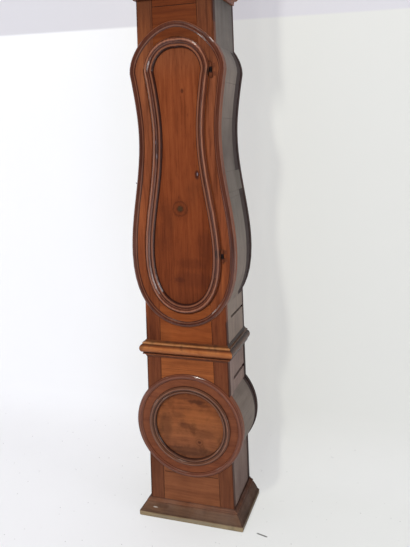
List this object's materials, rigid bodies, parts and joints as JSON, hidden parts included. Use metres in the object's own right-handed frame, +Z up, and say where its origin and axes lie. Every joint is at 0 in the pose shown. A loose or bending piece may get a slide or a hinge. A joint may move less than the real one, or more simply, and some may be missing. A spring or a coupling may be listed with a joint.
{
  "type": "comtoise clock",
  "caption": "Tall longcase clock with a violin-shaped trunk over a drum-shaped base, lift-off hood, iron cage movement, weights and swinging pendulum",
  "frame": {"origin": "middle of the floor area that the clock covers", "axes": "+Z up, -Y is the front with the dial and the door, +X is the clock's right side as seen from the front"},
  "size_m": [0.4378, 0.306, 2.45],
  "materials": {
    "front_wood": "waxed reddish brown",
    "panel_wood": "waxed orange brown",
    "moulding_wood": "polished dark reddish brown",
    "side_wood": "unpolished grey brown",
    "back_frame_wood": "near black",
    "plain_wood": "bare softwood",
    "plinth_wood": "dull and worn",
    "glass": "clear",
    "enamel": "glossy white enamel",
    "brass": "lightly tarnished",
    "bell_metal": "cast and turned",
    "iron": "dark, oiled",
    "steel": "turned",
    "blued_steel": "dark blued",
    "rope": "twisted hemp"
  },
  "bodies": {
    "case": {"plinth": "plinth_wood", "base_stiles": "front_wood", "base_boards": "panel_wood", "base_sides": "side_wood", "drum_face": "front_wood", "drum_rim": "moulding_wood", "drum_moulding": "moulding_wood", "drum_panel": "panel_wood", "drum_flanks": "side_wood", "base_back_frame": "back_frame_wood", "waist_moulding": "moulding_wood", "trunk_stiles": "front_wood", "trunk_rails": "panel_wood", "violin_rim": "moulding_wood", "trunk_sides": "side_wood", "violin_flanks": "side_wood", "trunk_back_frame": "back_frame_wood", "back_board": "plain_wood", "seat_board": "plain_wood", "case_hinge_leaves": "iron", "movement_plates": "iron", "movement_pillars": "iron", "train_bars": "iron", "dial": "enamel", "crown_plate": "brass", "bell": "bell_metal", "bell_stand": "iron", "pendulum_cock": "iron", "going_rope": "rope", "strike_rope": "rope"},
    "trunk_door": {"door_panel": "panel_wood", "door_moulding": "moulding_wood", "door_hinge_leaves": "iron"},
    "hood": {"hood_base": "moulding_wood", "hood_shell": "front_wood", "hood_cornice": "moulding_wood", "hood_hinge_leaves": "brass"},
    "hood_door": {"hood_door_frame": "front_wood", "hood_glass": "glass", "hood_door_leaves": "brass", "hood_door_knob": "brass"},
    "going_barrel": {"going_barrel": "steel"},
    "going_great": {"going_great_wheel": "brass"},
    "going_second": {"going_second_wheel": "brass"},
    "going_third": {"going_third_wheel": "brass"},
    "escape": {"escape_wheel": "brass"},
    "anchor": {"anchor": "steel"},
    "minute": {"minute_hand": "blued_steel"},
    "hour": {"hour_hand": "blued_steel"},
    "motion": {"motion_wheel": "brass"},
    "strike_barrel": {"strike_barrel": "steel"},
    "strike_great": {"strike_great_wheel": "brass"},
    "pin": {"pin_wheel": "brass"},
    "strike_third": {"strike_third_wheel": "brass"},
    "fly": {"fly": "brass"},
    "hammer": {"hammer": "steel"},
    "pendulum": {"pendulum_rod": "steel", "pendulum_bob": "brass"},
    "going_weight": {"going_weight": "iron"},
    "strike_weight": {"strike_weight": "iron"}
  },
  "joints": [
    {"name": "trunk_door_hinge", "type": "hinge", "parent": "case", "child": "trunk_door", "pos_m": [0.13895, -0.0995, 1.415], "axis": [-0.0412, 0, 0.9991], "range_deg": [0, 105]},
    {"name": "hood_lift", "type": "slide", "parent": "case", "child": "hood", "axis": [0, 0, 1], "range_m": [0, 0.46]},
    {"name": "hood_door_hinge", "type": "hinge", "parent": "hood", "child": "hood_door", "pos_m": [0.1692, -0.0965, 2.2], "axis": [0, 0, 1], "range_deg": [0, 150]},
    {"name": "pendulum_swing", "type": "hinge", "parent": "case", "child": "pendulum", "pos_m": [0, 0.116, 2.21421], "axis": [0, -1, 0], "range_deg": [-4, 4]},
    {"name": "anchor_swing", "type": "hinge", "parent": "case", "child": "anchor", "pos_m": [0, 0.058, 2.21421], "axis": [0, -1, 0], "range_deg": [-4, 4]},
    {"name": "going_third_turn", "type": "hinge", "parent": "case", "child": "going_third", "pos_m": [0.027, 0.028, 2.16587], "axis": [0, -1, 0], "continuous": true},
    {"name": "going_second_turn", "type": "hinge", "parent": "case", "child": "going_second", "pos_m": [0.024, 0.028, 2.132], "axis": [0, -1, 0], "continuous": true},
    {"name": "going_great_turn", "type": "hinge", "parent": "case", "child": "going_great", "pos_m": [0.038, 0.028, 2.084], "axis": [0, -1, 0], "continuous": true},
    {"name": "escape_turn", "type": "hinge", "parent": "case", "child": "escape", "pos_m": [0, 0.028, 2.18027], "axis": [0, -1, 0], "continuous": true},
    {"name": "minute_turn", "type": "hinge", "parent": "case", "child": "minute", "pos_m": [0, 0.028, 2.172], "axis": [0, -1, 0], "continuous": true},
    {"name": "motion_turn", "type": "hinge", "parent": "case", "child": "motion", "pos_m": [-0.02692, 0.028, 2.172], "axis": [0, -1, 0], "continuous": true},
    {"name": "hour_turn", "type": "hinge", "parent": "case", "child": "hour", "pos_m": [0, 0.028, 2.172], "axis": [0, -1, 0], "continuous": true},
    {"name": "strike_third_turn", "type": "hinge", "parent": "case", "child": "strike_third", "pos_m": [-0.027, 0.028, 2.16587], "axis": [0, -1, 0], "continuous": true},
    {"name": "pin_turn", "type": "hinge", "parent": "case", "child": "pin", "pos_m": [-0.024, 0.028, 2.132], "axis": [0, -1, 0], "continuous": true},
    {"name": "strike_great_turn", "type": "hinge", "parent": "case", "child": "strike_great", "pos_m": [-0.038, 0.028, 2.084], "axis": [0, -1, 0], "continuous": true},
    {"name": "fly_turn", "type": "hinge", "parent": "case", "child": "fly", "pos_m": [-0.047, 0.028, 2.18903], "axis": [0, -1, 0], "continuous": true},
    {"name": "hammer_lift", "type": "hinge", "parent": "case", "child": "hammer", "pos_m": [-0.096, 0.038, 2.142], "axis": [0, -1, 0], "range_deg": [0, 6]},
    {"name": "going_weight_fall", "type": "slide", "parent": "case", "child": "going_weight", "axis": [0, 0, 1], "range_m": [0, 1.55], "deforming": ["going_rope"]},
    {"name": "going_barrel_turn", "type": "hinge", "parent": "case", "child": "going_barrel", "pos_m": [0.038, 0.038, 2.084], "axis": [0, -1, 0], "range_deg": [0, 3315]},
    {"name": "strike_weight_fall", "type": "slide", "parent": "case", "child": "strike_weight", "axis": [0, 0, 1], "range_m": [0, 1.55], "deforming": ["strike_rope"]},
    {"name": "strike_barrel_turn", "type": "hinge", "parent": "case", "child": "strike_barrel", "pos_m": [-0.038, 0.038, 2.084], "axis": [0, -1, 0], "range_deg": [-3315, 0]}
  ],
  "couplings": [
    {"joint": "anchor_swing", "follows": "pendulum_swing", "ratio": 1},
    {"joint": "going_second_turn", "follows": "going_third_turn", "ratio": -0.13333},
    {"joint": "going_great_turn", "follows": "going_third_turn", "ratio": 0.014815},
    {"joint": "escape_turn", "follows": "going_third_turn", "ratio": -7.5},
    {"joint": "minute_turn", "follows": "going_third_turn", "ratio": 0.13333},
    {"joint": "motion_turn", "follows": "going_third_turn", "ratio": -0.044444},
    {"joint": "hour_turn", "follows": "going_third_turn", "ratio": 0.011111},
    {"joint": "pin_turn", "follows": "strike_third_turn", "ratio": -0.13333},
    {"joint": "strike_great_turn", "follows": "strike_third_turn", "ratio": 0.014815},
    {"joint": "fly_turn", "follows": "strike_third_turn", "ratio": -7.5},
    {"joint": "going_barrel_turn", "follows": "going_weight_fall", "rad_per_m": 37.313},
    {"joint": "strike_barrel_turn", "follows": "strike_weight_fall", "rad_per_m": -37.313}
  ]
}
